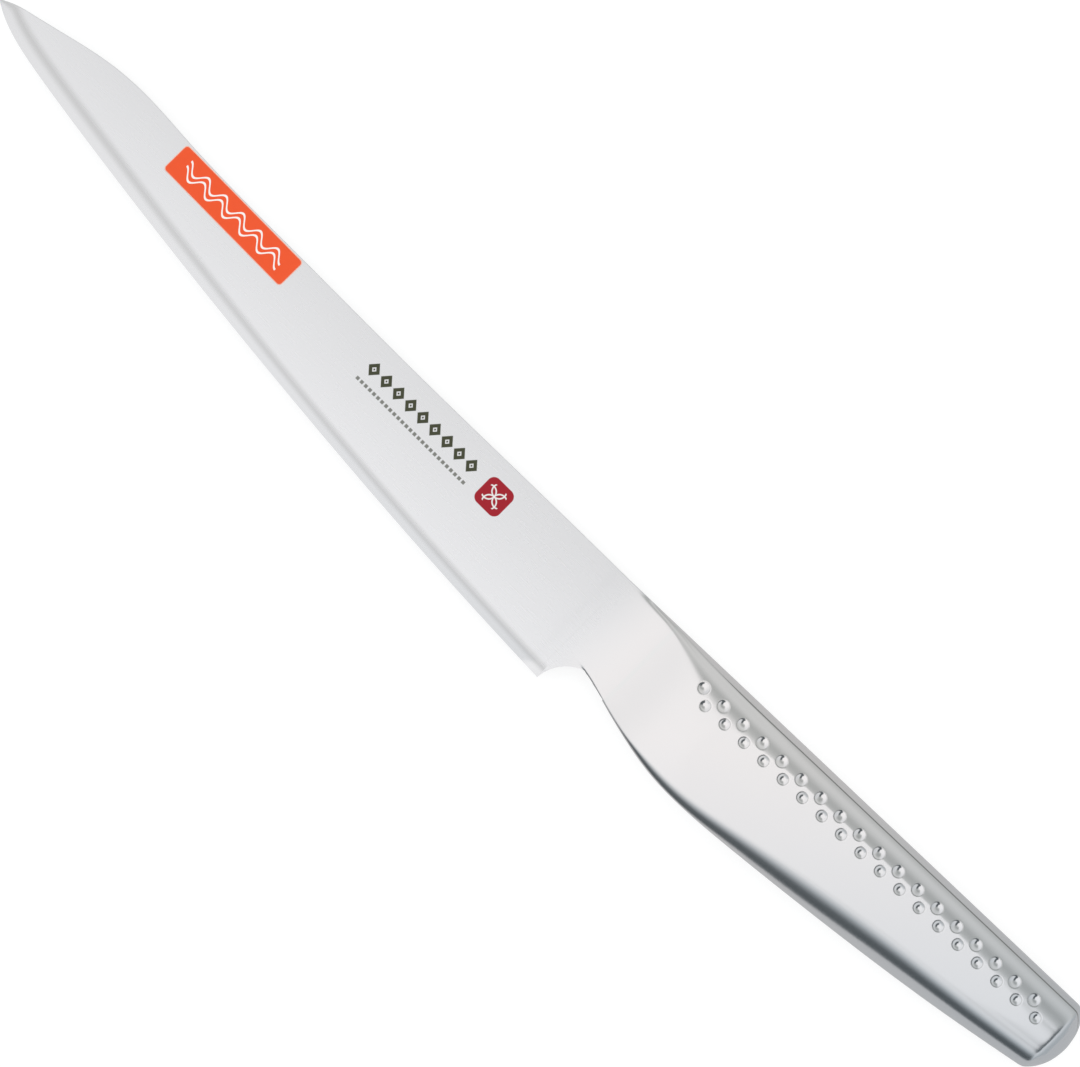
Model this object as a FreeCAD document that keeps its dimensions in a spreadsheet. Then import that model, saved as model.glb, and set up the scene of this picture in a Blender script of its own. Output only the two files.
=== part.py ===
import FreeCAD, Part
import math
import os
import Sketcher

# Fillet knife in stainless steel: a thin ground blade whose neck flares into a hollow handle.
# The handle is two pressed shells, welded together along the spine, the belly and the neck,
# part filled with sand for balance and closed with a plug in the butt.
#
# Directions while the pieces are built: x runs from the tip to the butt and is 0 at the heel,
# y points to the spine, z through the thickness with 0 in the middle plane.
# Every finished piece is then placed so that the knife lies on its right side at z = 0.

Vector = FreeCAD.Vector

LOFT_DEGREE = 3
DOME_STEPS = 5
POINT_BEVEL = 0.9

SIZES = {
    # blade
    "blade_length": 170.0,
    "heel_thickness": 1.3,
    "tip_thickness": 0.7,
    "point_thickness": 0.2,
    "bevel_width": 2.35,
    "heel_depth": 20.45,
    "spine_height": 6.2,
    "heel_overlap": 2.0,
    # finger notch behind the heel
    "notch_start": 0.4,
    "notch_radius": 8.6,
    "notch_end": 5.3,
    "notch_top": 12.85,
    # neck and tang
    "neck_length": 12.0,
    "stock_inset": 0.2,
    "tang_length": 22.0,
    "tang_top": 1.0,
    "tang_bottom": 10.0,
    # handle
    "handle_length": 125.3,
    "handle_rise": 0.0235,
    "dome_radius": 10.5,
    "butt_flat": 1.6,
    "wall": 1.1,
    "weld_width": 0.8,
    "facet_drop": 1.35,
    "shoulder_drop": 7.0,
    "shoulder_swell": 0.4,
    "least_roll": 0.3,
    "flat_width": 0.48,
    "facet_width": 0.69,
    "face_width": 0.975,
    "side_flat": 0.35,
    # dimples
    "dimple_count": 18,
    "dimple_pitch": 5.25,
    "dimple_radius": 1.75,
    "dimple_depth": 0.45,
    "dimple_start": 24.35,
    "dimple_drop": 5.05,
    "dimple_row_gap": 2.75,
    # filling
    "plug_radius": 1.5,
    "sand_clearance": 0.1,
    "sand_level": 0.9,
    # label
    "label_length": 32.8,
    "label_width": 6.8,
    "label_corner": 0.8,
    "label_film": 0.1,
    "label_from_heel": 107.2,
    "label_height": 2.2,
    "label_turn": 0.76,
    # resting place
    "rest_from_heel": 68.0,
    "rest_below_axis": 4.4,
}

# Blade stations: distance from the point, height of the spine and depth of the edge.
BLADE_STATIONS = {
    "point": (0.0, 0.16, 0.12),
    "nose": (2.0, 1.15, 1.25),
    "front": (7.0, 2.60, 3.23),
    "cheek": (14.0, 4.25, 4.84),
    "rise": (24.0, 6.35, 6.50),
    "peak": (33.0, 7.02, 7.83),
    "back": (46.0, 6.35, 9.63),
    "middle": (75.0, 5.72, 13.16),
    "belly": (110.0, 5.55, 16.62),
    "rear": (145.0, 5.95, 19.18),
}

# Handle stations: distance behind the heel, depth of the underside, half thickness, how far the
# spine facet and shoulder have grown from 0 to 1, radius of the rolled belly, and how many
# degrees it turns before it meets the flat along the belly.
HANDLE_STATIONS = {
    "root": (-5.0, 12.60, 0.55, 0.10, 0.45, 60.0),
    "bridge": (0.0, 12.60, 0.62, 0.10, 0.45, 60.0),
    "notch": (5.3, 12.90, 1.05, 0.12, 0.50, 60.0),
    "neck": (12.0, 14.60, 2.30, 0.22, 0.60, 60.0),
    "throat": (20.0, 16.70, 4.90, 0.62, 1.20, 57.0),
    "swell": (28.0, 18.15, 6.65, 0.90, 2.80, 52.0),
    "grip": (36.0, 18.50, 7.10, 1.00, 4.20, 49.0),
    "palm": (48.0, 17.75, 7.20, 1.00, 5.90, 54.0),
    "waist": (66.0, 15.90, 7.25, 1.00, 8.20, 57.0),
    "rest": (84.0, 13.75, 7.20, 1.00, 8.00, 68.0),
    "tail": (102.0, 11.15, 7.10, 1.00, 6.50, 84.0),
    "butt": (121.6, 7.60, 6.80, 1.00, 5.20, 90.0),
}


def fill_sheet(doc):
    """Put every driving size in the sheet, one alias a row."""
    sheet = doc.addObject("Spreadsheet::Sheet", "sizes")
    rows = dict(SIZES)
    for name, (ahead, top, depth) in BLADE_STATIONS.items():
        rows[f"{name}_from_point"] = ahead
        rows[f"{name}_spine"] = top
        rows[f"{name}_edge"] = depth
    for name, sizes in HANDLE_STATIONS.items():
        for kind, size in zip(("behind", "depth", "half", "growth", "roll", "turn"), sizes):
            rows[f"{name}_{kind}"] = size
    for row, (name, size) in enumerate(rows.items(), start=1):
        sheet.set(f"A{row}", name)
        sheet.set(f"B{row}", str(size))
        sheet.setAlias(f"B{row}", name)
    doc.recompute()
    return sheet


def origin_plane(body, role):
    for feature in body.Origin.OriginFeatures:
        if feature.Role == role:
            return feature
    raise ValueError(role)


def add_sketch(body, name, role):
    sketch = body.newObject("Sketcher::SketchObject", name)
    sketch.AttachmentSupport = [(origin_plane(body, role), "")]
    sketch.MapMode = "FlatFace"
    return sketch


def bind_point(sketch, edge, end, across, along):
    """Hold one end of a sketch edge at two expressions measured from the origin."""
    for kind, text in (("DistanceX", across), ("DistanceY", along)):
        size = float(sketch.evalExpression(text))
        number = sketch.addConstraint(Sketcher.Constraint(kind, -1, 1, edge, end, size))
        sketch.setExpression(f"Constraints[{number}]", text)


def outline_spot(sketch, corner):
    across, along = corner
    return Vector(float(sketch.evalExpression(across)), float(sketch.evalExpression(along)), 0)


def draw_outline(sketch, corners):
    """Close an outline of lines through corners, each a pair of expressions."""
    spots = [outline_spot(sketch, corner) for corner in corners]
    count = len(spots)
    for number in range(count):
        sketch.addGeometry(Part.LineSegment(spots[number], spots[(number + 1) % count]))
    for number in range(count):
        sketch.addConstraint(Sketcher.Constraint("Coincident", number, 2, (number + 1) % count, 1))
    for number, (across, along) in enumerate(corners):
        bind_point(sketch, number, 1, across, along)


def smooth_curve(spots):
    curve = Part.BSplineCurve()
    curve.interpolate(spots)
    return curve.toShape()


def blade_corners(sheet):
    """Corners of each five-sided blade section, from the point to just behind the heel."""
    taper = (sheet.heel_thickness - sheet.tip_thickness) / sheet.blade_length
    sections = []
    for name in BLADE_STATIONS:
        ahead = getattr(sheet, f"{name}_from_point")
        thickness = sheet.point_thickness if name == "point" else sheet.tip_thickness + taper * ahead
        sections.append((ahead, getattr(sheet, f"{name}_spine"), getattr(sheet, f"{name}_edge"), thickness))
    end = sheet.blade_length + sheet.heel_overlap
    sections.append((end, sheet.spine_height, sheet.heel_depth, sheet.tip_thickness + taper * end))
    corners = []
    for ahead, spine, edge, thickness in sections:
        bevel = min(sheet.bevel_width, POINT_BEVEL * (spine + edge)) - edge
        half = thickness / 2
        outline = [(spine, half), (bevel, half), (-edge, 0), (bevel, -half), (spine, -half)]
        corners.append([Vector(ahead - sheet.blade_length, height, out) for height, out in outline])
    return corners


def make_ground_blade(doc, sheet):
    """Spine, two tapering sides and two bevels, ruled between curves that run along the blade."""
    corners = blade_corners(sheet)
    curves = [smooth_curve(list(line)) for line in zip(*corners)]
    faces = []
    for number, curve in enumerate(curves):
        faces.append(Part.makeRuledSurface(curve, curves[(number + 1) % len(curves)]))
    for ring in (corners[0], corners[-1]):
        faces.append(Part.Face(Part.makePolygon(ring + ring[:1])))
    return add_shape(doc, "ground_blade", Part.makeSolid(Part.makeShell(faces)))


def make_neck_stock(doc):
    """Flat steel behind the blade: the inside of the neck, and the tang that runs on from it."""
    body = doc.addObject("PartDesign::Body", "neck_stock")
    sketch = add_sketch(body, "neck_outline", "XY_Plane")
    neck_top = "sizes.spine_height + sizes.handle_rise * sizes.neck_length - sizes.stock_inset"
    draw_outline(sketch, [
        ("0", "sizes.spine_height"),
        ("0", "sizes.bevel_width - sizes.heel_depth"),
        ("sizes.neck_length", "sizes.bevel_width - sizes.heel_depth"),
        ("sizes.neck_length", "-sizes.tang_bottom"),
        ("sizes.neck_length + sizes.tang_length", "-sizes.tang_bottom"),
        ("sizes.neck_length + sizes.tang_length", "sizes.tang_top"),
        ("sizes.neck_length", "sizes.tang_top"),
        ("sizes.neck_length", neck_top),
    ])
    pad = body.newObject("PartDesign::Pad", "neck_and_tang")
    pad.Profile = sketch
    pad.Midplane = True
    pad.setExpression("Length", "sizes.heel_thickness")
    return body


def make_notch(doc):
    """Space of the finger notch: an arc up from the heel corner, then the slope under the neck."""
    body = doc.addObject("PartDesign::Body", "finger_notch")
    sketch = add_sketch(body, "notch_outline", "XY_Plane")
    below = "-sizes.heel_depth - 2 * sizes.stock_inset"
    corners = [
        ("-sizes.notch_start", below),
        ("sizes.notch_end", "-sizes.notch_top"),
        ("sizes.neck_length", "sizes.stock_inset - sizes.neck_depth"),
        ("sizes.neck_length", below),
    ]
    spots = [outline_spot(sketch, corner) for corner in corners]
    radius = float(sketch.evalExpression("sizes.notch_radius"))
    chord = spots[1] - spots[0]
    rise = radius - math.sqrt(radius ** 2 - (chord.Length / 2) ** 2)
    crown = (spots[0] + spots[1]) * 0.5 + Vector(-chord.y, chord.x, 0).normalize() * rise
    sketch.addGeometry(Part.Arc(spots[0], crown, spots[1]))
    for number in range(1, len(spots)):
        sketch.addGeometry(Part.LineSegment(spots[number], spots[(number + 1) % len(spots)]))
    # The arc turns the other way from the lines, so it ends at the heel corner.
    sketch.addConstraint(Sketcher.Constraint("Coincident", 0, 1, 1, 1))
    for number in range(1, len(spots) - 1):
        sketch.addConstraint(Sketcher.Constraint("Coincident", number, 2, number + 1, 1))
    sketch.addConstraint(Sketcher.Constraint("Coincident", len(spots) - 1, 2, 0, 2))
    number = sketch.addConstraint(Sketcher.Constraint("Radius", 0, radius))
    sketch.setExpression(f"Constraints[{number}]", "sizes.notch_radius")
    bind_point(sketch, len(spots) - 1, 2, *corners[0])
    for number in range(1, len(spots)):
        bind_point(sketch, number, 1, *corners[number])
    pad = body.newObject("PartDesign::Pad", "notch_space")
    pad.Profile = sketch
    pad.Midplane = True
    pad.setExpression("Length", "3 * sizes.heel_thickness")
    return body


class Slice:
    """One cross-section of the handle: its place, its reach and how far its details have grown."""

    def __init__(self, place, top, bottom, half, growth, roll, turn):
        self.place = place
        self.top = top
        self.bottom = bottom
        self.half = half
        self.growth = growth
        self.roll = roll
        self.turn = turn

    def shrunk(self, place, share):
        """The same section moved along and drawn in evenly towards its centre."""
        centre = (self.top + self.bottom) / 2
        top = centre + (self.top - centre) * share
        bottom = centre + (self.bottom - centre) * share
        return Slice(place, top, bottom, self.half * share, self.growth * share, self.roll * share,
                     self.turn)


def handle_slices(sheet, inset, first):
    """Sections from the named station back to the start of the domed butt, set in by the inset."""
    slices = []
    names = list(HANDLE_STATIONS)
    for name in names[names.index(first):]:
        place = getattr(sheet, f"{name}_behind")
        if name == "butt":
            place = place - inset
        top = sheet.spine_height + sheet.handle_rise * place - inset
        bottom = inset - getattr(sheet, f"{name}_depth")
        half = getattr(sheet, f"{name}_half") - inset
        roll = max(getattr(sheet, f"{name}_roll") - inset, sheet.least_roll)
        growth = getattr(sheet, f"{name}_growth")
        slices.append(Slice(place, top, bottom, half, growth, roll, getattr(sheet, f"{name}_turn")))
    return slices


def dome_slices(sheet, inset, last):
    """Sections that close the butt in a dome of the given radius, up to a small flat at its end."""
    centre = sheet.handle_length - math.sqrt(sheet.dome_radius ** 2 - sheet.butt_flat ** 2)
    radius = sheet.dome_radius - inset
    start_radius = math.sqrt(radius ** 2 - (last.place - centre) ** 2)
    end_share = sheet.butt_flat / start_radius
    slices = []
    for step in range(DOME_STEPS + 1):
        share = math.cos(math.acos(end_share) * step / DOME_STEPS)
        place = centre + math.sqrt(radius ** 2 - (share * start_radius) ** 2)
        slices.append(last.shrunk(place, share))
    return slices


def draw_edge(spots):
    """A line through two spots or an arc through three."""
    if len(spots) == 2:
        return Part.makeLine(*spots)
    return Part.Arc(*spots).toShape()


def belly_arc(cut, face):
    """Start, middle and end of the rolled belly, from the foot of the face to the belly flat."""
    turn = math.radians(cut.turn)
    start = cut.bottom + cut.roll * math.sin(turn)
    spots = []
    for angle in (0, turn / 2, turn):
        spots.append((start - cut.roll * math.sin(angle), face - cut.roll * (1 - math.cos(angle))))
    return spots


def shoulder_arc(crease, foot, swell):
    """Start, crown and end of the arc that swells from the crease down to the face."""
    chord = Vector(foot[0] - crease[0], foot[1] - crease[1], 0)
    out = Vector(chord.y, -chord.x, 0).normalize() * swell
    return [crease, ((crease[0] + foot[0]) / 2 + out.x, (crease[1] + foot[1]) / 2 + out.y), foot]


def handle_wire(sheet, cut):
    """Outline of one section: spine flat, facets, shoulders, faces, rolled belly, belly flat."""
    face = sheet.face_width * cut.half
    flat = (cut.top, sheet.flat_width * cut.half)
    crease = (cut.top - sheet.facet_drop * cut.growth, sheet.facet_width * cut.half)
    shoulder = (cut.top - sheet.shoulder_drop * cut.growth, face)
    belly = belly_arc(cut, face)
    flank = [
        [flat, crease],
        shoulder_arc(crease, shoulder, sheet.shoulder_swell * cut.growth),
        [shoulder, ((shoulder[0] + belly[0][0]) / 2, cut.half), belly[0]],
        belly,
    ]
    edges = [draw_edge([Vector(cut.place, cut.top, -flat[1]), Vector(cut.place, cut.top, flat[1])])]
    for stretch in flank:
        edges.append(draw_edge([Vector(cut.place, height, out) for height, out in stretch]))
    edge = belly[-1][1]
    edges.append(draw_edge([Vector(cut.place, cut.bottom, edge), Vector(cut.place, cut.bottom, -edge)]))
    for stretch in reversed(flank):
        edges.append(draw_edge([Vector(cut.place, height, -out) for height, out in reversed(stretch)]))
    return Part.Wire(edges)


def handle_solid(sheet, inset, first):
    """The whole handle as one solid, drawn in by the inset on every side."""
    slices = handle_slices(sheet, inset, first)
    dome = dome_slices(sheet, inset, slices[-1])
    grip = Part.makeLoft([handle_wire(sheet, cut) for cut in slices], True, False, False, LOFT_DEGREE)
    cap = Part.makeLoft([handle_wire(sheet, cut) for cut in dome], True, False, False, LOFT_DEGREE)
    return grip.fuse(cap)


def dimple_places(sheet):
    """Two staggered rows, parallel to the spine."""
    places = []
    for number in range(int(sheet.dimple_count)):
        for row in (0, 1):
            behind = sheet.dimple_start + sheet.dimple_pitch * (number + 0.5 * row)
            top = sheet.spine_height + sheet.handle_rise * behind
            places.append((behind, top - sheet.dimple_drop - sheet.dimple_row_gap * row))
    return places


def dimple_balls(sheet, form, growth, sides):
    """Balls that press the dimples, grown by a wall for the bumps that show inside."""
    balls = []
    flat = sheet.waist_half - sheet.side_flat
    for behind, height in dimple_places(sheet):
        probe = Part.makeLine(Vector(behind, height, 0), Vector(behind, height, flat))
        surface = probe.common(form).BoundBox.ZMax
        lift = surface + sheet.dimple_radius - sheet.dimple_depth
        for side in sides:
            balls.append(Part.makeSphere(sheet.dimple_radius + growth, Vector(behind, height, side * lift)))
    return balls


def add_shape(doc, name, shape):
    feature = doc.addObject("Part::Feature", name)
    feature.Shape = shape
    return feature


def add_box(doc, name, low, high):
    """A box between two corners, each given by three expressions."""
    box = doc.addObject("Part::Box", name)
    for axis, size, start, end in zip("xyz", ("Length", "Width", "Height"), low, high):
        box.setExpression(f"Placement.Base.{axis}", start)
        box.setExpression(size, f"({end}) - ({start})")
    return box


def add_boolean(doc, kind, name, base, tool):
    feature = doc.addObject(kind, name)
    feature.Base = base
    feature.Tool = tool
    return feature


def keep_between(doc, name, base, low, high):
    """The stretch of a solid that lies in a box between two corners."""
    return add_boolean(doc, "Part::Common", name, base, add_box(doc, f"{name}_box", low, high))


def make_pressed_form(doc, sheet):
    """Hollow handle with its neck: flat sides, dimples outside and their bumps inside."""
    solid = handle_solid(sheet, 0, "root")
    form = add_shape(doc, "outer_form", solid)
    low = ("-sizes.neck_length", "-2 * sizes.grip_depth", "sizes.side_flat - sizes.waist_half")
    high = ("sizes.handle_length + 1", "2 * sizes.grip_depth", "sizes.waist_half - sizes.side_flat")
    flat_sided = keep_between(doc, "flat_sided_form", form, low, high)
    dents = add_shape(doc, "dents", Part.Compound(dimple_balls(sheet, solid, 0, (1, -1))))
    dented = add_boolean(doc, "Part::Cut", "dented_form", flat_sided, dents)
    bumps = dimple_balls(sheet, solid, sheet.wall, (1, -1))
    hollow = add_shape(doc, "hollow", handle_solid(sheet, sheet.wall, "neck").cut(bumps))
    return solid, add_boolean(doc, "Part::Cut", "pressed_form", dented, hollow)


def make_blade(doc, sheet, pressed):
    """Blade, neck and tang in one piece: the flared neck is the front of the pressed form."""
    ground = make_ground_blade(doc, sheet)
    stock = add_boolean(doc, "Part::Fuse", "blade_stock", ground, make_neck_stock(doc))
    notched = add_boolean(doc, "Part::Cut", "notched_stock", stock, make_notch(doc))
    low = ("-sizes.neck_length", "-sizes.heel_depth", "-sizes.grip_half")
    high = ("sizes.neck_length", "2 * sizes.spine_height", "sizes.grip_half")
    neck = keep_between(doc, "flared_neck", pressed, low, high)
    return add_boolean(doc, "Part::Fuse", "blade", notched, neck)


def make_neck_weld(doc, pressed):
    """Bead that joins the neck to the front of both shells."""
    low = ("sizes.neck_length", "-sizes.heel_depth", "-sizes.grip_half")
    high = ("sizes.neck_length + sizes.weld_width", "2 * sizes.spine_height", "sizes.grip_half")
    return keep_between(doc, "neck_weld", pressed, low, high)


def add_plug(doc, name):
    """Rod along the handle, on the seam, through the wall at the end of the butt."""
    plug = doc.addObject("Part::Cylinder", name)
    plug.Placement.Rotation = FreeCAD.Rotation(Vector(0, 1, 0), 90)
    plug.setExpression("Radius", "sizes.plug_radius")
    plug.setExpression("Height", "sizes.wall")
    return plug


def make_shell(doc, pressed, bore, name, start, end):
    """One pressed half of the handle, between two heights, with its half of the plug hole."""
    low = ("sizes.neck_length + sizes.weld_width", "-2 * sizes.grip_depth", start)
    high = ("sizes.handle_length + 1", "2 * sizes.grip_depth", end)
    half = keep_between(doc, f"{name}_blank", pressed, low, high)
    return add_boolean(doc, "Part::Cut", name, half, bore)


def make_seam_weld(doc, pressed, bore, name, start, end):
    """Bead between the shells, above or below the plug, from the neck weld to the plug."""
    low = ("sizes.neck_length + sizes.weld_width", start, "-sizes.weld_width / 2")
    high = ("sizes.handle_length + 1", end, "sizes.weld_width / 2")
    bead = keep_between(doc, f"{name}_blank", pressed, low, high)
    return add_boolean(doc, "Part::Cut", name, bead, bore)


def make_sand(doc, sheet, solid):
    """Sand settled in the lower side of the hollow, clear of the wall, the bumps and the tang."""
    clear = sheet.wall + sheet.sand_clearance
    bed = handle_solid(sheet, clear, "neck").cut(dimple_balls(sheet, solid, clear, (-1,)))
    gap = "sizes.sand_clearance"
    low = (f"sizes.neck_length + sizes.weld_width + {gap}", "-2 * sizes.grip_depth", "-sizes.waist_half")
    high = ("sizes.handle_length", "2 * sizes.grip_depth", "sizes.sand_level")
    settled = keep_between(doc, "settled_sand", add_shape(doc, "sand_bed", bed), low, high)
    low = ("0", f"-sizes.tang_bottom - {gap}", f"-sizes.heel_thickness / 2 - {gap}")
    high = (f"sizes.neck_length + sizes.tang_length + {gap}", f"sizes.tang_top + {gap}",
            f"sizes.heel_thickness / 2 + {gap}")
    return add_boolean(doc, "Part::Cut", "balance_sand", settled, add_box(doc, "tang_space", low, high))


def make_label(doc, sheet):
    """Thin sticker with rounded corners, lying on the left face of the blade."""
    body = doc.addObject("PartDesign::Body", "blade_label")
    sketch = add_sketch(body, "label_outline", "XY_Plane")
    along = "sizes.label_length / 2"
    across = "sizes.label_width / 2"
    draw_outline(sketch, [
        (f"-{along}", f"-{across}"),
        (along, f"-{across}"),
        (along, across),
        (f"-{along}", across),
    ])
    film = body.newObject("PartDesign::Pad", "film")
    film.Profile = sketch
    film.setExpression("Length", "sizes.label_film")
    doc.recompute()
    corners = []
    for number, edge in enumerate(film.Shape.Edges, start=1):
        if abs(edge.tangentAt(edge.FirstParameter).z) > 0.9:
            corners.append(f"Edge{number}")
    rounding = body.newObject("PartDesign::Fillet", "label_corners")
    rounding.Base = (film, corners)
    rounding.setExpression("Radius", "sizes.label_corner")
    lean = math.degrees(math.atan((sheet.heel_thickness - sheet.tip_thickness) / 2 / sheet.blade_length))
    tilt = FreeCAD.Rotation(Vector(0, 1, 0), -lean)
    turn = FreeCAD.Rotation(Vector(0, 0, 1), -sheet.label_turn)
    body.Placement.Rotation = tilt * turn
    return body


def place(piece, along="0", up="0", through="0"):
    """Set a finished piece in the resting frame, whose origin is under the grip."""
    piece.setExpression("Placement.Base.x", f"{along} - sizes.rest_from_heel")
    piece.setExpression("Placement.Base.y", f"{up} + sizes.rest_below_axis")
    piece.setExpression("Placement.Base.z", f"{through} + sizes.waist_half - sizes.side_flat")


def make_knife(doc, sheet):
    solid, pressed = make_pressed_form(doc, sheet)
    plug_start = "sizes.handle_length - sizes.wall"
    plug_height = "(sizes.spine_height + sizes.handle_rise * sizes.butt_behind - sizes.butt_depth) / 2"
    bore = add_plug(doc, "plug_bore")
    bore.setExpression("Placement.Base.x", plug_start)
    bore.setExpression("Placement.Base.y", plug_height)
    plug = add_plug(doc, "fill_plug")
    label = make_label(doc, sheet)
    taper = "(sizes.heel_thickness - sizes.tip_thickness) * sizes.label_from_heel / sizes.blade_length"
    seam = "sizes.weld_width / 2"
    side = "sizes.waist_half"
    pieces = [
        make_blade(doc, sheet, pressed),
        make_shell(doc, pressed, bore, "left_handle_shell", seam, side),
        make_shell(doc, pressed, bore, "right_handle_shell", f"-{side}", f"-{seam}"),
        make_neck_weld(doc, pressed),
        make_seam_weld(doc, pressed, bore, "spine_seam_weld", plug_height, "2 * sizes.grip_depth"),
        make_seam_weld(doc, pressed, bore, "belly_seam_weld", "-2 * sizes.grip_depth", plug_height),
        make_sand(doc, sheet, solid),
    ]
    for piece in pieces:
        place(piece)
    place(plug, plug_start, plug_height)
    place(label, "-sizes.label_from_heel", "sizes.label_height", f"(sizes.heel_thickness - {taper}) / 2")
    return pieces + [plug, label]


def check_document(doc, pieces):
    for feature in doc.Objects:
        if "Invalid" in feature.State or "Error" in feature.State:
            raise RuntimeError(f"{feature.Name} did not build: {feature.State}")
    for piece in pieces:
        if piece.Shape.isNull() or not piece.Shape.isValid():
            raise RuntimeError(f"{piece.Name} has no sound shape")


def main():
    doc = FreeCAD.newDocument("fillet_knife")
    sheet = fill_sheet(doc)
    pieces = make_knife(doc, sheet)
    doc.recompute()
    check_document(doc, pieces)
    os.makedirs("parts", exist_ok=True)
    for piece in pieces:
        piece.Label = piece.Name
        piece.Shape.exportStep(f"parts/{piece.Label}.step")
        box = piece.Shape.BoundBox
        print(piece.Label, len(piece.Shape.Solids), "solid", round(piece.Shape.Volume, 1), "mm3",
              [round(size, 2) for size in (box.XMin, box.XMax, box.YMin, box.YMax, box.ZMin, box.ZMax)])


main()
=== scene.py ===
import math
import bpy
import numpy as np
from mathutils import Matrix, Vector


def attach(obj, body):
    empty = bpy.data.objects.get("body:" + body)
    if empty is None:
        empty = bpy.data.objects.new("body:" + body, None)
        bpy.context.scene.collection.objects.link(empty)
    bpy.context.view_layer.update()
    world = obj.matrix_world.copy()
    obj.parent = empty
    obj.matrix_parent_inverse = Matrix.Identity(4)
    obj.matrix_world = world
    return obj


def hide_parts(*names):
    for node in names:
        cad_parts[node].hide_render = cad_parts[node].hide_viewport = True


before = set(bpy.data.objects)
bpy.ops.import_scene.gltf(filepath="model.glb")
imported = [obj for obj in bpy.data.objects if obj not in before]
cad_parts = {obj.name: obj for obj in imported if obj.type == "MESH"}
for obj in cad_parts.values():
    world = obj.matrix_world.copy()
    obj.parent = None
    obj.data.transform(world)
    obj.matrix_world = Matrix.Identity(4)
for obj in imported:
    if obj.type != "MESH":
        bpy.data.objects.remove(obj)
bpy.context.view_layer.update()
print("frame loaded:", len(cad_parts), "nodes")

# Sizes are in millimetres. While a piece is shaped, x is 0 at the heel and runs to the butt,
# y runs to the spine and z is 0 in the middle plane. toFrame puts the result in the frame.
placing = {
    "mm": 0.001,
    "restFromHeel": 68.0,
    "restBelowAxis": 4.4,
    "midPlane": 6.9,
}

handle = {
    "length": 125.3,
    "spineHeight": 6.2,
    "rise": 0.0235,
    "domeRadius": 10.5,
    "buttFlat": 1.6,
    "wall": 1.1,
    "weldWidth": 0.8,
    "facetDrop": 1.35,
    "shoulderDrop": 7.0,
    "flatWidth": 0.48,
    "facetWidth": 0.69,
    "faceWidth": 0.975,
    "swell": 0.40,
    "sideLimit": 6.9,
    "softness": 0.16,
    "leastSoftness": 0.08,
    "sideSoftness": 0.02,
    "throatSoftness": 1.6,
    "throatReach": (2.0, 10.0, 30.0, 52.0),
    "columnStep": 0.21,
    "domeColumns": 30,
    "creaseReach": 12,
    "creaseSmoothings": 40,
    "plugRadius": 1.5,
    "plugGap": 0.02,
    "plugRounding": 0.15,
    "plugColumns": 6,
    "dimpleBand": 10.4,
    "creaseShadeFrom": (18.0, 34.0),
}

# distance behind the heel, depth of the underside, half thickness, growth of facet and shoulder,
# radius of the rolled belly and the degrees it turns before it meets the flat along the belly
handleStations = [
    (-5.0, 12.60, 0.55, 0.10, 0.45, 60.0),
    (0.0, 12.60, 0.62, 0.10, 0.45, 60.0),
    (5.3, 12.90, 1.05, 0.12, 0.50, 60.0),
    (12.0, 14.60, 2.30, 0.22, 0.60, 60.0),
    (20.0, 16.70, 4.90, 0.62, 1.20, 57.0),
    (28.0, 18.15, 6.65, 0.90, 2.80, 52.0),
    (36.0, 18.50, 7.10, 1.00, 4.20, 49.0),
    (48.0, 17.75, 7.20, 1.00, 5.90, 54.0),
    (66.0, 15.90, 7.25, 1.00, 8.20, 57.0),
    (84.0, 13.75, 7.20, 1.00, 8.00, 68.0),
    (102.0, 11.15, 7.10, 1.00, 6.50, 84.0),
    (121.6, 7.60, 6.80, 1.00, 5.20, 90.0),
]

# rows of the mesh on each stretch of half a section, from the middle of the spine downwards
sectionRows = {"weld": 2, "flat": 3, "facet": 6, "shoulder": 30, "band": 17, "face": 6, "roll": 18,
               "under": 2}


def toFrame(points):
    shift = np.array([-placing["restFromHeel"], placing["restBelowAxis"], placing["midPlane"]])
    return (np.asarray(points, float) + shift) * placing["mm"]


def smoothThrough(places, values, wanted):
    # natural cubic curve through stations
    places, values, wanted = (np.asarray(each, float) for each in (places, values, wanted))
    steps = np.diff(places)
    slopes = np.diff(values) / steps
    size = len(places)
    system = np.eye(size)
    right = np.zeros(size)
    for i in range(1, size - 1):
        system[i, i - 1:i + 2] = steps[i - 1], 2 * (steps[i - 1] + steps[i]), steps[i]
        right[i] = 6 * (slopes[i] - slopes[i - 1])
    bend = np.linalg.solve(system, right)
    at = np.clip(np.searchsorted(places, wanted) - 1, 0, size - 2)
    before = (places[at + 1] - wanted) / steps[at]
    after = 1 - before
    curved = (before ** 3 - before) * bend[at] + (after ** 3 - after) * bend[at + 1]
    return before * values[at] + after * values[at + 1] + curved * steps[at] ** 2 / 6


def softMax(first, second, softness):
    return 0.5 * (first + second + np.sqrt((first - second) ** 2 + softness ** 2))


def easeBetween(low, high, value):
    share = np.clip((value - low) / (high - low), 0, 1)
    return share * share * (3 - 2 * share)


def handleSizes(x):
    places, *columns = zip(*handleStations)
    top = handle["spineHeight"] + handle["rise"] * x
    depth, half, growth, roll, turn = (smoothThrough(places, column, x) for column in columns)
    return top, -depth, half, growth, roll, turn


def shoulderArc(crease, foot, swell, along):
    # arc that swells from the crease down to the face
    crease, foot = np.array(crease), np.array(foot)
    chord = foot - crease
    reach = np.hypot(*chord) / 2
    out = np.array([chord[1], -chord[0]]) / (2 * reach)
    radius = (reach ** 2 + swell ** 2) / (2 * swell)
    offset = (2 * along - 1) * reach
    lift = np.sqrt(radius ** 2 - offset ** 2) - (radius - swell)
    return crease + along * chord + lift * out


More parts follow.
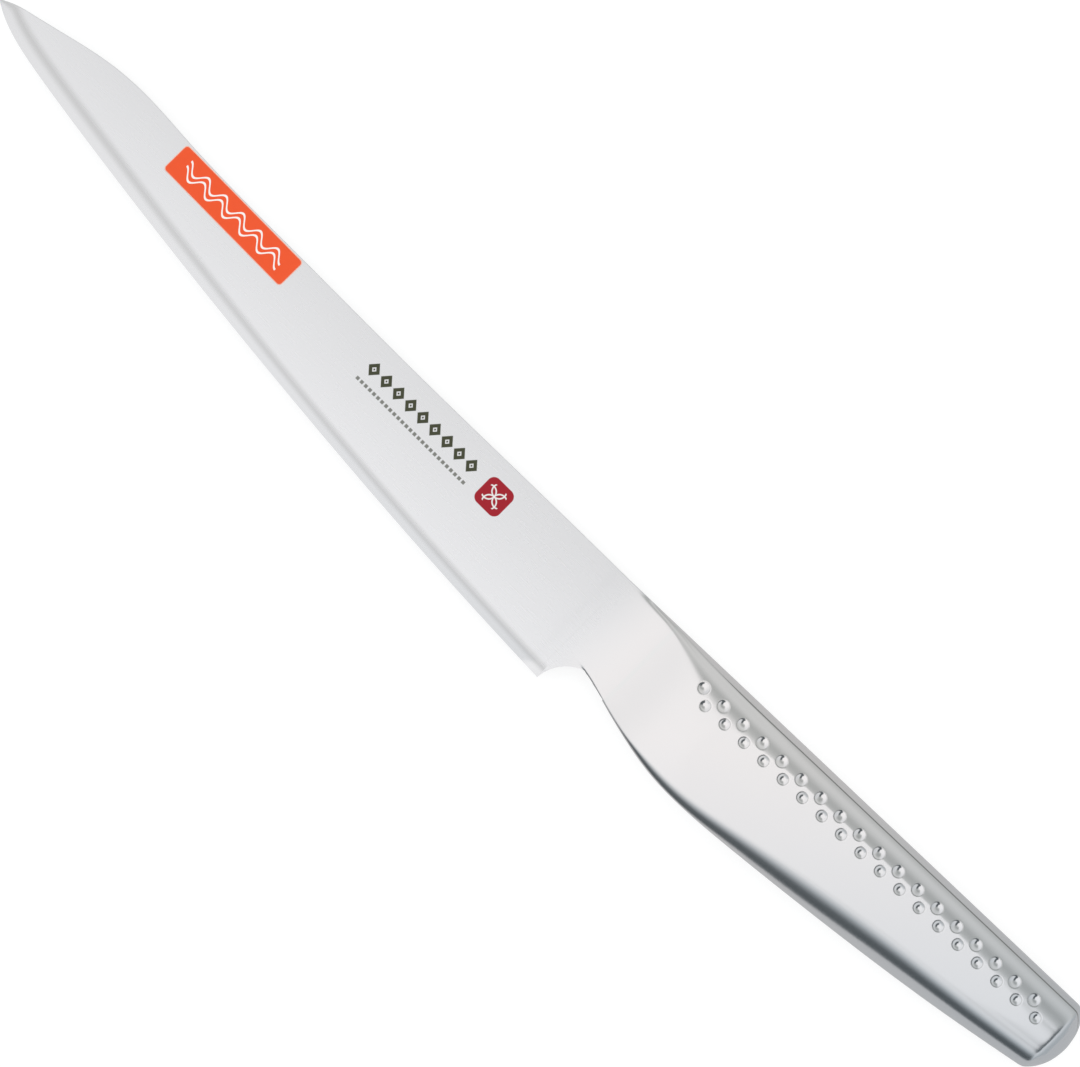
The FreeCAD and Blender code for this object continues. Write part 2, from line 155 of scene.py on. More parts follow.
def sectionOutline(top, bottom, half, growth, roll, turn, fine=120):
    # half of a section from the middle of the spine down to the middle of the belly
    face = handle["faceWidth"] * half
    crease = top - handle["facetDrop"] * growth
    shoulder = top - handle["shoulderDrop"] * growth
    flat = handle["flatWidth"] * half
    facet = handle["facetWidth"] * half
    along = np.linspace(0, 1, fine)[:, None]
    bulge = 4 * along * (1 - along)
    fullTurn = math.radians(turn)
    angle = fullTurn * along
    rollStart = bottom + roll * math.sin(fullTurn)
    edge = face - roll * (1 - math.cos(fullTurn))
    return [
        np.hstack([top + 0 * along, flat * along]),
        np.hstack([top + (crease - top) * along, flat + (facet - flat) * along]),
        shoulderArc((crease, facet), (shoulder, face), handle["swell"] * growth, along),
        np.hstack([shoulder + (rollStart - shoulder) * along, face + (half - face) * bulge]),
        np.hstack([rollStart - roll * np.sin(angle), face - roll * (1 - np.cos(angle))]),
        np.hstack([bottom + 0 * along, edge * (1 - along)]),
    ]


def blurred(points, softness):
    # moving average along the outline, which is mirrored past both ends
    reach = int(3 * softness) + 1
    weights = np.exp(-0.5 * (np.arange(-reach, reach + 1) / softness) ** 2)
    weights /= weights.sum()
    mirrored = points * [1, -1]
    padded = np.vstack([mirrored[reach:0:-1], points, mirrored[-2:-reach - 2:-1]])
    return np.stack([np.convolve(padded[:, i], weights, "valid") for i in (0, 1)], axis=1)


def pointsAt(places, travel, outline):
    # points of an outline at the given distances along it
    return np.stack([np.interp(places, travel, outline[:, i]) for i in (0, 1)], axis=1)


def softenedSection(x, top, bottom, half, growth, roll, turn, share=1.0):
    # rounds the section's corners, and the shoulder more where the neck swells into the grip
    pieces = sectionOutline(top, bottom, half, growth, roll, turn)
    outline = np.vstack(pieces)
    travel = np.concatenate([[0], np.cumsum(np.hypot(*np.diff(outline, axis=0).T))])
    keep = np.concatenate([[True], np.diff(travel) > 1e-9])
    outline, travel = outline[keep], travel[keep]
    whole = travel[-1]
    spacing = 0.04
    count = int(whole / spacing) + 1
    even = np.linspace(0, whole, count)
    points = pointsAt(even, travel, outline)
    step = whole / (count - 1)
    rounded = blurred(points, max(handle["softness"] * share, handle["leastSoftness"]) / step)
    lengths = [np.hypot(*np.diff(piece, axis=0).T).sum() for piece in pieces]
    flatEnd, facetEnd, shoulderEnd, faceEnd, rollEnd = np.cumsum(lengths[:5])
    begin, full, fading, end = handle["throatReach"]
    throat = easeBetween(begin, full, x) * (1 - easeBetween(fading, end, x))
    if throat > 0:
        middle = (shoulderEnd + faceEnd) / 2
        near = easeBetween(facetEnd, facetEnd + 2 * growth, even)
        near = near * (1 - easeBetween(middle, faceEnd, even))
        wide = blurred(points, max(handle["throatSoftness"] * growth, handle["softness"]) / step)
        rounded += (wide - rounded) * (throat * near)[:, None]
    rounded[:, 1] = -softMax(-rounded[:, 1], -handle["sideLimit"], handle["sideSoftness"])
    rounded[0, 1] = rounded[-1, 1] = 0
    weld = handle["weldWidth"] / 2 * share
    # the welds lie in the first and the last eighth
    weldEnd = np.interp(weld, rounded[:count // 8, 1], even[:count // 8])
    lastWeld = np.interp(-weld, -rounded[-count // 8:, 1], even[-count // 8:])
    reach = (handle["dimpleBand"] - handle["shoulderDrop"] * growth) * share
    bandEnd = shoulderEnd + min(reach, 0.6 * (faceEnd - shoulderEnd))
    rollEnd = min(rollEnd, lastWeld - 0.05 * share)
    stops = [0, weldEnd, flatEnd, facetEnd, shoulderEnd, bandEnd, faceEnd, rollEnd, lastWeld, whole]
    counts = [*sectionRows.values(), sectionRows["weld"]]
    rows = [np.array([0.0])]
    for start, stop, steps in zip(stops[:-1], stops[1:], counts):
        rows.append(np.linspace(start, stop, steps + 1)[1:])
    return pointsAt(np.concatenate(rows), even, rounded)


def handleColumns():
    # places along the grip, then the shrinking sections of the domed butt
    start, end = neck["length"], handleStations[-1][0]
    count = int((end - start) / handle["columnStep"])
    columns = [(x, x, 1.0) for x in np.linspace(start, end, count + 1)]
    radius = handle["domeRadius"]
    centre = handle["length"] - math.sqrt(radius ** 2 - handle["buttFlat"] ** 2)
    startRadius = math.sqrt(radius ** 2 - (end - centre) ** 2)
    fullTurn = math.acos(handle["buttFlat"] / startRadius)
    for step in range(1, handle["domeColumns"] + 1):
        share = math.cos(fullTurn * step / handle["domeColumns"])
        columns.append((end, centre + math.sqrt(radius ** 2 - (share * startRadius) ** 2), share))
    return columns


def plugHeight(grid):
    # halfway between spine and belly at the end of the butt
    return (grid[-1, 0, 1] + grid[-1, -1, 1]) / 2


def handleGrid():
    columns = handleColumns()
    grid = []
    for source, x, share in columns:
        sizes = (float(each) for each in handleSizes(np.array(source)))
        top, bottom, half, growth, roll, turn = sizes
        centre = (top + bottom) / 2
        top, bottom = centre + (top - centre) * share, centre + (bottom - centre) * share
        half, growth, roll = half * share, growth * share, roll * share
        section = softenedSection(source, top, bottom, half, growth, roll, turn, share)
        grid.append(np.column_stack([np.full(len(section), x), section]))
    grid = np.array(grid)
    # the crease between grip and dome is soft
    creaseAt = len(columns) - 1 - handle["domeColumns"]
    reach = handle["creaseReach"]
    for smoothing in range(handle["creaseSmoothings"]):
        near = grid[creaseAt - reach:creaseAt + reach + 1].copy()
        inner = near[:-2] * 0.25 + near[1:-1] * 0.5 + near[2:] * 0.25
        grid[creaseAt - reach + 1:creaseAt + reach] = inner
    # the last sections turn into the round plug hole
    middle = plugHeight(grid)
    for back in range(handle["plugColumns"]):
        ring = grid[-1 - back]
        angle = np.arctan2(ring[:, 2], ring[:, 1] - middle)
        away = np.hypot(ring[:, 1] - middle, ring[:, 2])
        lastAway = np.hypot(grid[-1, :, 1] - middle, grid[-1, :, 2])
        wanted = (handle["plugRadius"] + handle["plugGap"]) * away.mean() / lastAway.mean()
        share = 1 - back / handle["plugColumns"]
        away = away * (1 - share) + wanted * share
        ring[:, 1] = middle + away * np.cos(angle)
        ring[:, 2] = away * np.sin(angle)
    return grid


def meshPiece(name, points, faces, material, sharpAngle=35):
    mesh = bpy.data.meshes.new(name)
    mesh.from_pydata([tuple(point) for point in toFrame(points)], [], faces)
    mesh.validate()
    mesh.update()
    mesh.shade_smooth()
    mesh.set_sharp_from_angle(angle=math.radians(sharpAngle))
    piece = bpy.data.objects.new(name, mesh)
    bpy.context.scene.collection.objects.link(piece)
    mesh.materials.append(material)
    return piece


def storeAttribute(piece, name, values):
    # one number or one vector for each point of the mesh
    kind, field = ("FLOAT_VECTOR", "vector") if values.ndim == 2 else ("FLOAT", "value")
    attribute = piece.data.attributes.new(name, kind, "POINT")
    attribute.data.foreach_set(field, values.astype(np.float32).ravel())


def seatPiece(piece, node):
    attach(piece, "root")
    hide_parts(node)


def tubeFaces(rings, around, turnedOver=False):
    # quads round a tube of rings
    faces = []
    for i in range(rings - 1):
        near, far = i * around, (i + 1) * around
        for j in range(around):
            first, second = j, (j + 1) % around
            if turnedOver:
                first, second = second, first
            faces.append((near + first, near + second, far + second, far + first))
    return faces


def gridNormals(grid):
    along = np.gradient(grid, axis=0)
    across = np.gradient(grid, axis=1)
    normals = np.cross(across, along)
    return normals / np.linalg.norm(normals, axis=2, keepdims=True)


def wallSolid(outer, normals, wall, closed=False):
    # a patch of the skin with its thickness: points and faces, facing outwards
    columns, rows = outer.shape[:2]
    inner = outer - normals * wall
    points = np.vstack([outer.reshape(-1, 3), inner.reshape(-1, 3)])
    size = columns * rows
    faces = []
    lastRow = rows if closed else rows - 1
    for i in range(columns - 1):
        for j in range(lastRow):
            k = (j + 1) % rows
            a, b, c, d = i * rows + j, i * rows + k, (i + 1) * rows + k, (i + 1) * rows + j
            faces.append((a, b, c, d))
            faces.append((size + d, size + c, size + b, size + a))
    last = (columns - 1) * rows
    for j in range(lastRow):
        k = (j + 1) % rows
        faces.append((k, j, size + j, size + k))
        faces.append((last + j, last + k, size + last + k, size + last + j))
    if not closed:
        for i in range(columns - 1):
            first, second = i * rows, (i + 1) * rows
            faces.append((first, second, size + second, size + first))
            first, second = first + rows - 1, second + rows - 1
            faces.append((second, first, size + first, size + second))
    return points, faces


class Signal:
    def __init__(self, tree, socket=None):
        self.tree = tree
        self.socket = socket

    def make(self, kind, settings=None, inputs=None, output=0):
        node = self.tree.nodes.new(kind)
        for name, value in (settings or {}).items():
            if name == "stops":
                ramp = node.color_ramp
                while len(ramp.elements) < len(value):
                    ramp.elements.new(1.0)
                for element, (place, colour) in zip(ramp.elements, value):
                    element.position = place
                    element.color = colour
            else:
                setattr(node, name, value)
        for key, value in (inputs or {}).items():
            if isinstance(value, Signal):
                self.tree.links.new(value.socket, node.inputs[key])
            else:
                node.inputs[key].default_value = value
        return Signal(self.tree, node.outputs[output])

    def math(self, operation, *others):
        values = dict(enumerate((self, *others)))
        return self.make("ShaderNodeMath", {"operation": operation}, values)

    def scaled(self, factor):
        return self.make("ShaderNodeVectorMath", {"operation": "SCALE"}, {0: self, "Scale": factor})

    def axes(self):
        return tuple(self.make("ShaderNodeSeparateXYZ", None, {0: self}, axis) for axis in "XYZ")

    def __add__(self, other):
        return self.math("ADD", other)

    def __sub__(self, other):
        return self.math("SUBTRACT", other)

    def __mul__(self, other):
        return self.math("MULTIPLY", other)

    def __truediv__(self, other):
        return self.math("DIVIDE", other)

    def __rsub__(self, other):
        return self.make("ShaderNodeMath", {"operation": "SUBTRACT"}, {0: other, 1: self})

    def __abs__(self):
        return self.math("ABSOLUTE")

    __radd__ = __add__

    def clamped(self, low=0.0, high=1.0):
        return self.math("MAXIMUM", low).math("MINIMUM", high)

    def above(self, edge, soft):
        # 0 below the edge, 1 above it, with a soft step between
        return self.make("ShaderNodeMapRange", {"interpolation_type": "SMOOTHSTEP"},
                         {"Value": self, "From Min": edge - soft, "From Max": edge + soft})

    def below(self, edge, soft):
        return 1 - self.above(edge, soft)


def newMaterial(name):
    material = bpy.data.materials.new(name)
    material.use_nodes = True
    tree = material.node_tree
    tree.nodes.clear()
    return material, Signal(tree)


def finishSurface(shader, kind="ShaderNodeOutputMaterial"):
    out = shader.tree.nodes.new(kind)
    shader.tree.links.new(shader.socket, out.inputs["Surface"])


def coverWith(start, colour, roughness, bump, metallic=0.0, gloss=0.5):
    inputs = {"Base Color": colour, "Metallic": metallic, "Roughness": roughness, "Normal": bump,
              "Specular IOR Level": gloss}
    finishSurface(start.make("ShaderNodeBsdfPrincipled", None, inputs, "BSDF"))


def splitPlace(start):
    # Object coordinates as three signals, in the directions and millimetres of the sizes above
    place = start.make("ShaderNodeTexCoord", None, None, "Object").scaled(1 / placing["mm"])
    shift = (placing["restFromHeel"], -placing["restBelowAxis"], -placing["midPlane"])
    place = start.make("ShaderNodeVectorMath", {"operation": "ADD"}, {0: place, 1: shift})
    return place, *place.axes()


def noise(start, place, scale, detail):
    return start.make("ShaderNodeTexNoise", None, {"Vector": place, "Scale": scale, "Detail": detail}, "Fac")


def grain(start, place, stretch, scale, detail=3.0):
    # noise drawn out along the brushing
    drawn = start.make("ShaderNodeVectorMath", {"operation": "MULTIPLY"}, {0: place, 1: stretch})
    return noise(start, drawn, scale, detail)


def readAttribute(start, name, output="Fac"):
    return start.make("ShaderNodeAttribute", {"attribute_name": name}, None, output)


def bumpOf(start, height, strength, distance=0.0001):
    inputs = {"Strength": strength, "Distance": distance, "Height": height}
    return start.make("ShaderNodeBump", None, inputs, "Normal")


def asColour(colour):
    return (*colour, 1.0)


def mixColour(start, share, first, second):
    first, second = (each if isinstance(each, Signal) else asColour(each) for each in (first, second))
    return start.make("ShaderNodeMix", {"data_type": "RGBA"}, {0: share, 6: first, 7: second}, 2)


steel = {
    "blade": (0.895, 0.895, 0.912),
    "shell": (0.885, 0.862, 0.862),
    "shellShadedBehind": (0.725, 0.750, 0.785),
    "shadeBehindFrom": (40.0, -2.0),
    "shadeBehindOver": (85.0, 60.0),
    "weld": (0.872, 0.862, 0.860),
    "bladeRoughness": 0.28,
    "bevelRoughness": 0.24,
    "shellRoughness": 0.21,
    "weldRoughness": 0.22,
    "dimpleRoughness": 0.10,
    "roughnessGrain": 0.05,
    "colourGrain": 0.02,
    "brushScale": 2.6,
    "brushStretch": (0.12, 2.2, 2.2),
    "weldStretch": (2.0, 0.4, 0.4),
    "broadStretch": (0.05, 0.09, 0.09),
    "bladeBroadStretch": (0.03, 0.06, 0.06),
    "brushDepth": 0.015,
    "bladeBrushDepth": 0.006,
    "spineShade": 0.18,
    "spineShadeFrom": -18.0,
    "spineShadeOver": 24.0,
    "neckTone": (4.0, 7.0),
    "grindLine": -1.3,
    "grindShade": 0.05,
    "bevelShade": 0.28,
    "bevelStripShade": 0.06,
    "rimShade": 0.36,
    "creaseShade": 0.85,
    "shade": (0.30, 0.30, 0.29),
    "inkGloss": 0.2,
    "inkRoughness": 0.15,
}

marks = {
    "olive": (0.052, 0.055, 0.030),
    "ruleStart": -67.7,
    "ruleEnd": -37.3,
    "ruleMiddle": 0.2,
    "ruleHalf": 1.65,
    "lozenges": 9,
    "lozengeSlim": 2.3,
    "lozengeHollow": 0.36,
    "lozengeHeart": 0.16,
    "fineMiddle": -3.3,
    "fineHalf": 0.36,
    "fineCount": 27,
    "fineDashHalf": 0.32,
    "fineInk": 0.8,
    "red": (0.330, 0.010, 0.020),
    "sealX": -31.5,
    "sealY": -1.0,
    "sealHalf": 3.2,
    "sealCorner": 1.5,
    "petalRadius": 1.45,
    "petalLine": 0.14,
    "flowerHalf": 2.1,
    "flowerCorner": 0.9,
    "pale": (0.78, 0.76, 0.74),
    "soft": 0.06,
}


def grainedColour(start, tint, fine, broad):
    dark = tint.scaled(1 - 2 * steel["colourGrain"])
    return mixColour(start, fine * 0.6 + broad * 0.4, dark, tint)


def shaded(start, share, colour):
    return mixColour(start, share, colour, steel["shade"])


def brushedSteel(name, tint, roughness, stretch):
    # pressed steel, glossy in the dimples, with painted shade along the crease under the spine, round the
    # dimple rims and towards the butt and the belly
    material, start = newMaterial(name)
    place, x, y = splitPlace(start)[:3]
    fine = grain(start, place, stretch, steel["brushScale"])
    broad = grain(start, place, steel["broadStretch"], 1.0, 2.0)
    # painted shade: cooler and darker towards the butt and the belly
    (fromX, fromY), (overX, overY) = steel["shadeBehindFrom"], steel["shadeBehindOver"]
    behind = ((x - fromX) / overX - (y - fromY) / overY).clamped()
    tint = mixColour(start, behind, tint, steel["shellShadedBehind"])
    colour = grainedColour(start, tint, fine, broad)
    # painted shade: a dark line along the crease under the spine
    crease = readAttribute(start, "crease").above(0.45, 0.3)
    colour = shaded(start, crease * steel["creaseShade"], colour)
    pressed = readAttribute(start, "dimple")
    # painted shade: a dark ring round the rim of each dimple
    rim = pressed.above(0.05, 0.04) * pressed.below(0.24, 0.10)
    colour = shaded(start, rim * steel["rimShade"], colour)
    dimple = pressed.above(0.12, 0.10)
    rough = roughness + (fine - 0.5) * steel["roughnessGrain"]
    rough = rough - dimple * (steel["shellRoughness"] - steel["dimpleRoughness"])
    bump = bumpOf(start, fine, steel["brushDepth"])
    coverWith(start, colour, rough, bump, 1.0, steel["inkGloss"])
    return material


def roundedBox(x, y, halfWidth, halfHeight, corner, soft):
    # 1 inside a rounded rectangle about the origin of x and y
    outX = (abs(x) - (halfWidth - corner)).math("MAXIMUM", 0.0)
    outY = (abs(y) - (halfHeight - corner)).math("MAXIMUM", 0.0)
    away = (outX * outX + outY * outY).math("SQRT")
    return away.below(corner, soft)


def bladeMarks(x, y, z):
    # olive band of lozenges over a fine dashed line, and a red seal with a four-petalled flower
    soft = marks["soft"]
    leftSide = z.above(0.0, 0.05)
    length = marks["ruleEnd"] - marks["ruleStart"]
    behind = x - marks["ruleStart"]
    within = abs(x - (marks["ruleStart"] + length / 2)).below(length / 2, soft)
    across = (behind / (length / marks["lozenges"])).math("FRACT") - 0.5
    up = (y - marks["ruleMiddle"]) / marks["ruleHalf"]
    outer = abs(across) * marks["lozengeSlim"] + abs(up)
    lozenge = outer.below(1.0, 0.05) * (1 - outer.below(marks["lozengeHollow"], 0.05))
    heart = outer.below(marks["lozengeHeart"], 0.05)
    dash = abs((behind / (length / marks["fineCount"])).math("FRACT") - 0.5)
    dash = dash.below(marks["fineDashHalf"], 0.06)
    fine = abs(y - marks["fineMiddle"]).below(marks["fineHalf"], soft)
    inked = (lozenge + heart).math("MINIMUM", 1.0) + dash * fine * marks["fineInk"]
    olive = inked.math("MINIMUM", 1.0) * within * leftSide
    sealX, sealY = x - marks["sealX"], y - marks["sealY"]
    red = roundedBox(sealX, sealY, marks["sealHalf"], marks["sealHalf"], marks["sealCorner"], soft) * leftSide
    radius = marks["petalRadius"]
    petals = None
    for centreX, centreY in ((radius, 0), (-radius, 0), (0, radius), (0, -radius)):
        dx, dy = sealX - centreX, sealY - centreY
        away = (dx * dx + dy * dy).math("SQRT")
        line = abs(away - radius).below(marks["petalLine"], soft)
        petals = line if petals is None else petals.math("MAXIMUM", line)
    bed = roundedBox(sealX, sealY, marks["flowerHalf"], marks["flowerHalf"], marks["flowerCorner"], soft)
    return olive, red, petals * bed * leftSide


def bladeMaterial():
    material, start = newMaterial("satinBladeSteel")
    place, x, y, z = splitPlace(start)
    fine = grain(start, place, steel["brushStretch"], steel["brushScale"])
    broad = grain(start, place, steel["bladeBroadStretch"], 1.0, 2.0)
    bevel = readAttribute(start, "bevelRise")
    onBevel = bevel.below(1.0, 0.03)
    # painted shade: a grey line along the top of the edge bevel
    bevelShadeLine = abs(bevel - 0.93).below(0.27, 0.27)
    grindLine = abs(x - steel["grindLine"]).below(0.10, 0.12) * y.above(-18.0, 1.0) * y.below(0.0, 3.0)
    toNeck = x.above(*steel["neckTone"])
    tint = mixColour(start, toNeck, steel["blade"], steel["shell"])
    colour = grainedColour(start, tint, fine, broad)
    # painted shade: the blade face darker towards the spine
    spineShadeShare = ((y - steel["spineShadeFrom"]) / steel["spineShadeOver"]).clamped() * (1 - toNeck)
    shading = bevelShadeLine * steel["bevelShade"] + grindLine * steel["grindShade"]
    # painted shade: the whole bevel strip a little darker
    shading = shading + spineShadeShare * steel["spineShade"] + onBevel * steel["bevelStripShade"]
    colour = shaded(start, shading, colour)
    olive, red, flower = bladeMarks(x, y, z)
    for share, name in ((olive, "olive"), (red, "red"), (flower, "pale")):
        colour = mixColour(start, share, colour, marks[name])
    printed = olive.math("MAXIMUM", red)
    rough = steel["bladeRoughness"] - onBevel * (steel["bladeRoughness"] - steel["bevelRoughness"])
    rough = rough - toNeck * (steel["bladeRoughness"] - steel["shellRoughness"])
    rough = rough + (fine - 0.5) * steel["roughnessGrain"] + printed * steel["inkRoughness"]
    bump = bumpOf(start, fine, steel["bladeBrushDepth"])
    coverWith(start, colour, rough, bump, 1 - printed, steel["inkGloss"])
    return material


blade = {
    "length": 170.0,
    "tipThickness": 0.7,
    "heelThickness": 1.3,
    "pointThickness": 0.2,
    "pointSlope": 0.13,
    "bevelWidth": 2.35,
    "tipBevelWidth": 3.1,
    "bevelNarrows": (25.0, 115.0),
    "bevelShare": 0.9,
    "leastBevel": 0.35,
    "heelDepth": 20.45,
    "edgeShare": 0.03,
    "spineBand": 0.12,
    "leastHalf": 0.02,
    "spineRounding": 0.06,
    "roundingLimit": 0.6,
    "roundingShare": 0.9,
    "rowEvenness": 0.55,
    "columnStep": 0.7,
    "evenFrom": 6.1,
    "evenTo": -2.5,
    "faceRows": 30,
    "bevelRows": 6,
    "tipColumns": (0, 0.06, 0.15, 0.3, 0.5, 0.75, 1.05, 1.4, 1.8, 2.3, 2.8, 3.4, 4.0, 4.7, 5.4),
    "heelColumns": (-2.0, -1.4, -1.0, -0.7, -0.5),
}

# distance from the point, spine height, edge depth
bladeStations = [
    (0.0, 0.16, 0.12),
    (2.0, 1.15, 1.25),
    (7.0, 2.60, 3.23),
    (14.0, 4.25, 4.84),
    (24.0, 6.35, 6.50),
    (33.0, 7.02, 7.83),
    (46.0, 6.35, 9.63),
    (75.0, 5.72, 13.16),
    (110.0, 5.55, 16.62),
    (145.0, 5.95, 19.18),
    (172.0, 6.20, 20.45),
]

notch = {
    "start": 0.4,
    "startDrop": 0.4,
    "heelTurn": 3.9,
    "radius": 8.6,
    "end": 5.3,
    "top": 12.85,
    "neckBottom": 14.4,
    "columns": 40,
}

neck = {
    "length": 12.0,
    "blending": 0.12,
    "growLength": 3.0,
    "fadeStart": 7.0,
    "columnStep": 0.3,
    "tangEnd": 34.0,
    "tangTop": 1.0,
    "tangBottom": -10.0,
    "tangHalf": 0.65,
    "tangOverlap": 0.5,
    "tangCorner": 0.8,
}


def bladeOutline(x):
    places, spines, edges = zip(*bladeStations)
    ahead = x + blade["length"]
    return smoothThrough(places, spines, ahead), smoothThrough(places, edges, ahead)


def bladeTaper():
    # how much thicker the blade gets with each millimetre towards the heel
    return (blade["heelThickness"] - blade["tipThickness"]) / blade["length"]


def notchCentre():
    # centre of the arc behind the heel, from its two ends and its radius
    low = np.array([-notch["start"], -blade["heelDepth"] - notch["startDrop"]])
    high = np.array([notch["end"], -notch["top"]])
    chord = high - low
    half = np.hypot(*chord) / 2
    out = np.array([chord[1], -chord[0]]) / (2 * half)
    return (low + high) / 2 + out * math.sqrt(notch["radius"] ** 2 - half ** 2)


def notchLine(x):
    # height of the arc behind the heel, then of the slope under the neck
    centre = notchCentre()
    inside = np.clip(notch["radius"] ** 2 - (x - centre[0]) ** 2, 0, None)
    arc = centre[1] + np.sqrt(inside)
    share = (x - notch["end"]) / (neck["length"] - notch["end"])
    slope = -notch["top"] + share * (notch["top"] - notch["neckBottom"])
    return np.where(x < notch["end"], arc, slope)


def formHalf(x, height, *section):
    # half thickness of the flaring neck at each height, without the flat along the belly
    outline = softenedSection(x, *section)[:-sectionRows["under"] - sectionRows["weld"]]
    return np.interp(-height, -outline[:, 0], outline[:, 1])


def bladeColumns():
    # places along the blade, close together at the point, and round the notch to the neck
    centreX = notchCentre()[0]
    point = -blade["length"]
    tip = [point + each for each in blade["tipColumns"]]
    middle = np.arange(point + blade["evenFrom"], blade["evenTo"], blade["columnStep"])
    lastTurn = math.acos((centreX - notch["end"]) / notch["radius"])
    turns = np.linspace(math.radians(notch["heelTurn"]), lastTurn, notch["columns"])
    arc = [centreX - notch["radius"] * math.cos(turn) for turn in turns]
    slope = np.arange(notch["end"] + neck["columnStep"], neck["length"] - 0.1, neck["columnStep"])
    return np.array([*tip, *middle, *blade["heelColumns"], *arc, *slope, neck["length"]])


def bladeGrid():
    columns = bladeColumns()
    bladeTop, bladeEdge = bladeOutline(columns)
    top, *section = handleSizes(columns)
    # spine height runs on from the blade's into the handle's
    top = np.where(columns < 0, bladeTop, top)
    heelAt = notchCentre()[0] - notch["radius"] * math.cos(math.radians(notch["heelTurn"]))
    low = np.where(columns < heelAt - 1e-6, -bladeEdge, notchLine(columns))
    ahead = columns + blade["length"]
    narrowed = easeBetween(*blade["bevelNarrows"], ahead)
    width = blade["tipBevelWidth"] + (blade["bevelWidth"] - blade["tipBevelWidth"]) * narrowed
    bevel = np.minimum(width, blade["bevelShare"] * (bladeTop + bladeEdge))
    full = (blade["tipThickness"] + bladeTaper() * ahead) / 2
    full = np.minimum(full, blade["pointThickness"] / 2 + blade["pointSlope"] * ahead)
    heights, halves, rises = [], [], []
    for i, x in enumerate(columns):
        bevelTop = max(bevel[i] - bladeEdge[i], low[i] + blade["leastBevel"])
        first = np.linspace(low[i], bevelTop, blade["bevelRows"] + 1)
        room = top[i] - bevelTop
        near = min(blade["spineBand"], 0.1 * room)
        turn = np.linspace(0, math.pi, blade["faceRows"] + 1)
        even = np.linspace(0, 1, blade["faceRows"] + 1)
        spread = 0.5 * (1 - np.cos(turn)) * (1 - blade["rowEvenness"]) + even * blade["rowEvenness"]
        second = bevelTop + near + (room - 2 * near) * spread
        height = np.concatenate([first, second, [top[i] - near / 2, top[i] - near / 6, top[i]]])
        rise = np.clip((height + bladeEdge[i]) / bevel[i], 0, 1)
        stock = full[i] * (blade["edgeShare"] + (1 - blade["edgeShare"]) * rise)
        rounding = min(blade["spineRounding"], full[i] * blade["roundingLimit"])
        depth = np.clip(rounding - (top[i] - height), 0, rounding)
        stock = stock - (rounding - np.sqrt(rounding ** 2 - depth ** 2)) * blade["roundingShare"]
        neckFrom = handleStations[0][0]
        if x > neckFrom:
            form = formHalf(x, height, top[i], *(float(each[i]) for each in section))
            fade = 1 - easeBetween(neck["fadeStart"], neck["length"], x)
            grown = easeBetween(neckFrom, neckFrom + neck["growLength"], x)
            blending = neck["blending"] * grown
            both = softMax(stock * fade, form * grown, blending) - blending / 2 * fade
            stock = np.maximum(both, blade["leastHalf"])
        heights.append(height)
        halves.append(stock)
        rises.append(np.where(x < heelAt, (height + bladeEdge[i]) / bevel[i], 2.0))
    return columns, np.array(heights), np.array(halves), np.array(rises)


def makeBlade(material):
    columns, heights, halves, rises = bladeGrid()
    count, rows = heights.shape
    left = np.stack([np.repeat(columns[:, None], rows, 1), heights, halves], axis=2)
    right = left[:, ::-1] * [1, 1, -1]
    ring = np.concatenate([left, right], axis=1)
    around = 2 * rows
    points = ring.reshape(-1, 3)
    faces = tubeFaces(count, around, turnedOver=True)
    last = (count - 1) * around
    for j in range(rows - 1):
        a, b, c, d = j, j + 1, around - 2 - j, around - 1 - j
        faces.append((a, b, c, d))
        faces.append((last + d, last + c, last + b, last + a))
    # the tang that the handle hides
    start, end = neck["length"] - neck["tangOverlap"], neck["tangEnd"]
    low, high, half = neck["tangBottom"], neck["tangTop"], neck["tangHalf"]
    corner = neck["tangCorner"]
    outline = [(start, low), (end - corner, low), (end, low + corner), (end, high - corner),
               (end - corner, high), (start, high)]
    base = len(points)
    size = len(outline)
    tang = [(x, y, side * half) for side in (-1, 1) for x, y in outline]
    points = np.vstack([points, tang])
    faces.append(tuple(base + size + i for i in range(size)))
    faces.append(tuple(base + i for i in reversed(range(size))))
    for i in range(size):
        k = (i + 1) % size
        faces.append((base + i, base + k, base + size + k, base + size + i))
    piece = meshPiece("bladeAndNeck", points, faces, material, 40)
    bothSides = np.concatenate([rises, rises[:, ::-1]], axis=1)
    storeAttribute(piece, "bevelRise", np.concatenate([bothSides.ravel(), np.full(2 * size, 2.0)]))
    seatPiece(piece, "blade")


dimples = {
    "Count": 18,
    "Pitch": 5.25,
    "Rim": 1.18,
    "Depth": 0.34,
    "Softness": 0.06,
    "Start": 24.35,
    "Drop": 4.92,
    "Row Gap": 2.8,
    "Upper Slope": 0.24,
    "Lower Slope": 0.045,
}


